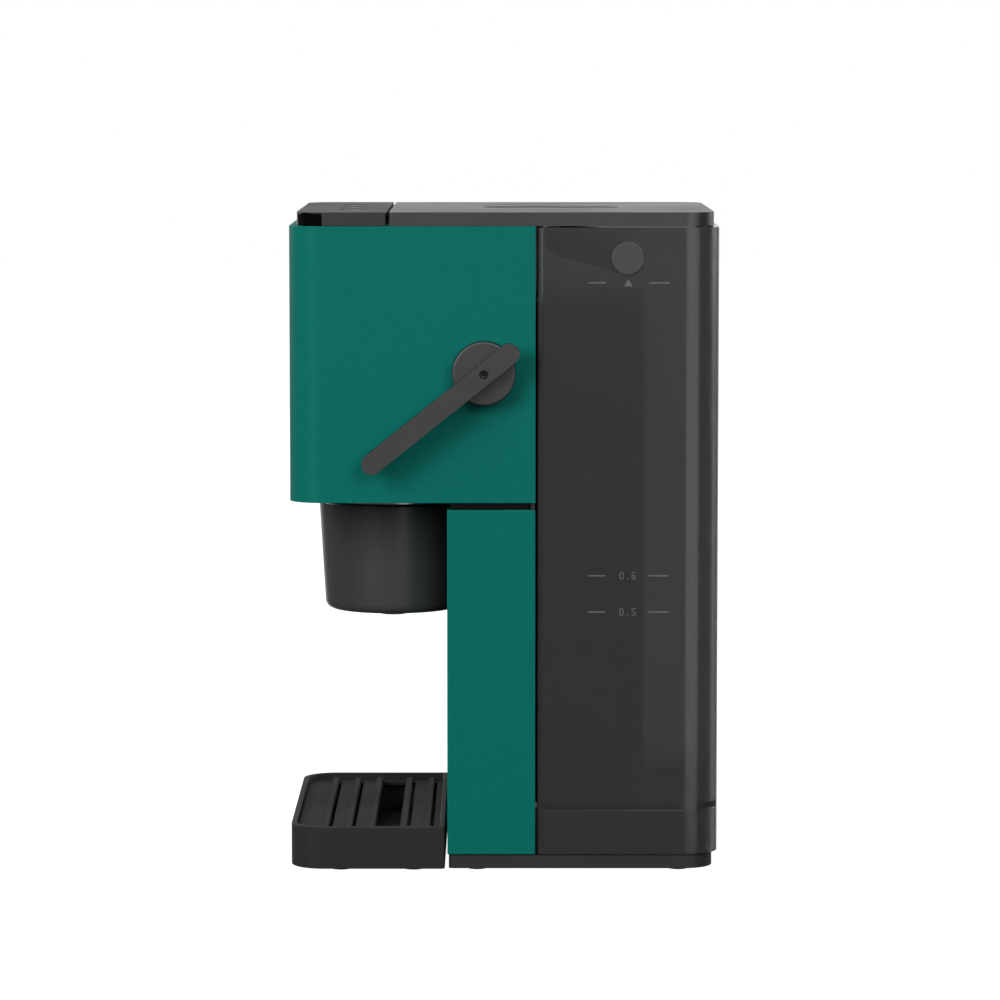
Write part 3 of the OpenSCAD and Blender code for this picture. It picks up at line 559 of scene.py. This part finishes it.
def white_floor():
    """A white floor that doesn't show in the glossy sides of the machine."""
    mesh = bpy.data.meshes.new("floor")
    corners = [(x * FLOOR_HALF, y * FLOOR_HALF, 0) for x, y in ((-1, -1), (1, -1), (1, 1), (-1, 1))]
    mesh.from_pydata(corners, [], [(0, 1, 2, 3)])
    floor = bpy.data.objects.new("floor", mesh)
    bpy.context.scene.collection.objects.link(floor)
    material, _, shader = start_material("white_floor")
    shader.inputs["Base Color"].default_value = FLOOR_GREY
    shader.inputs["Roughness"].default_value = 0.9
    shader.inputs["Emission Color"].default_value = WHITE
    shader.inputs["Emission Strength"].default_value = 1.0
    mesh.materials.append(material)
    floor.visible_glossy = False
    floor.visible_diffuse = False


FAR_SIDE_FULL = -0.97        # X of the direction up to which the far side is fully lit
FAR_SIDE_END = -0.8
DIM_ROOM = 0.08


def studio_world():
    """White where it is seen; the light that it gives comes from the far side, and little from elsewhere."""
    world = bpy.data.worlds.new("studio")
    world.use_nodes = True
    bpy.context.scene.world = world
    tree = world.node_tree
    direction = tree.nodes.new("ShaderNodeSeparateXYZ")
    tree.links.new(tree.nodes.new("ShaderNodeTexCoord").outputs["Generated"], direction.inputs[0])
    lit = range_node(tree, direction.outputs["X"], FAR_SIDE_FULL, FAR_SIDE_END, 1.0, DIM_ROOM)
    rays = tree.nodes.new("ShaderNodeLightPath")
    seen = math_node(tree, "MAXIMUM", rays.outputs["Is Camera Ray"], rays.outputs["Is Transmission Ray"])
    strength = tree.nodes.new("ShaderNodeMix")
    tree.links.new(seen, strength.inputs[0])
    tree.links.new(lit, strength.inputs[2])
    strength.inputs[3].default_value = 1.0
    background = tree.nodes["Background"]
    background.inputs["Color"].default_value = WHITE
    tree.links.new(strength.outputs[0], background.inputs["Strength"])


MIDDLE_OF_MACHINE = Vector((0.0, 0.0, 0.15))
# Each softbox: its name, place, width, height and watts, and whether it only shows as a reflection
SOFTBOXES = (
    ("overhead", (0.1, -0.1, 1.7), 1.4, 1.4, 14.0, False),
    ("key", (1.9, -1.2, 0.95), 1.2, 1.2, 32.0, False),
    ("fill", (2.2, 0.6, 0.9), 0.9, 0.9, 16.0, False),
    ("back_fill", (-1.1, 1.8, 0.9), 1.6, 1.3, 26.0, False),
    ("front_fill", (-1.25, -1.6, 0.8), 1.4, 1.2, 14.0, False),
    ("rear_strip", (1.75, 0.98, 0.4), 1.3, 1.5, 8.0, True),
)


def soft_light(name, place, width, height, watts, reflection_only):
    """A softbox at place that points at the middle of the machine."""
    light = bpy.data.lights.new(name, "AREA")
    light.shape = "RECTANGLE"
    light.size = width
    light.size_y = height
    light.energy = watts
    lamp = bpy.data.objects.new(name, light)
    lamp.location = place
    lamp.rotation_euler = (MIDDLE_OF_MACHINE - Vector(place)).to_track_quat("-Z", "Y").to_euler()
    lamp.visible_camera = False
    lamp.visible_diffuse = not reflection_only
    bpy.context.scene.collection.objects.link(lamp)


CAMERA_PLACE = (2.039877, -0.001848, 0.354746)
PITCH_DOWN = 5.509           # degrees
LENS = 162.5
SENSOR_WIDTH = 36.0


def side_camera():
    """A long lens on the lever side, a little above the lid."""
    lens = bpy.data.cameras.new("side_view")
    lens.lens = LENS
    lens.sensor_width = SENSOR_WIDTH
    camera = bpy.data.objects.new("side_view", lens)
    camera.location = CAMERA_PLACE
    camera.rotation_euler = (math.radians(90 - PITCH_DOWN), 0.0, math.radians(90))
    bpy.context.scene.collection.objects.link(camera)
    bpy.context.scene.camera = camera


white_floor()
studio_world()
for softbox in SOFTBOXES:
    soft_light(*softbox)
side_camera()
bpy.context.scene.view_settings.view_transform = "Standard"
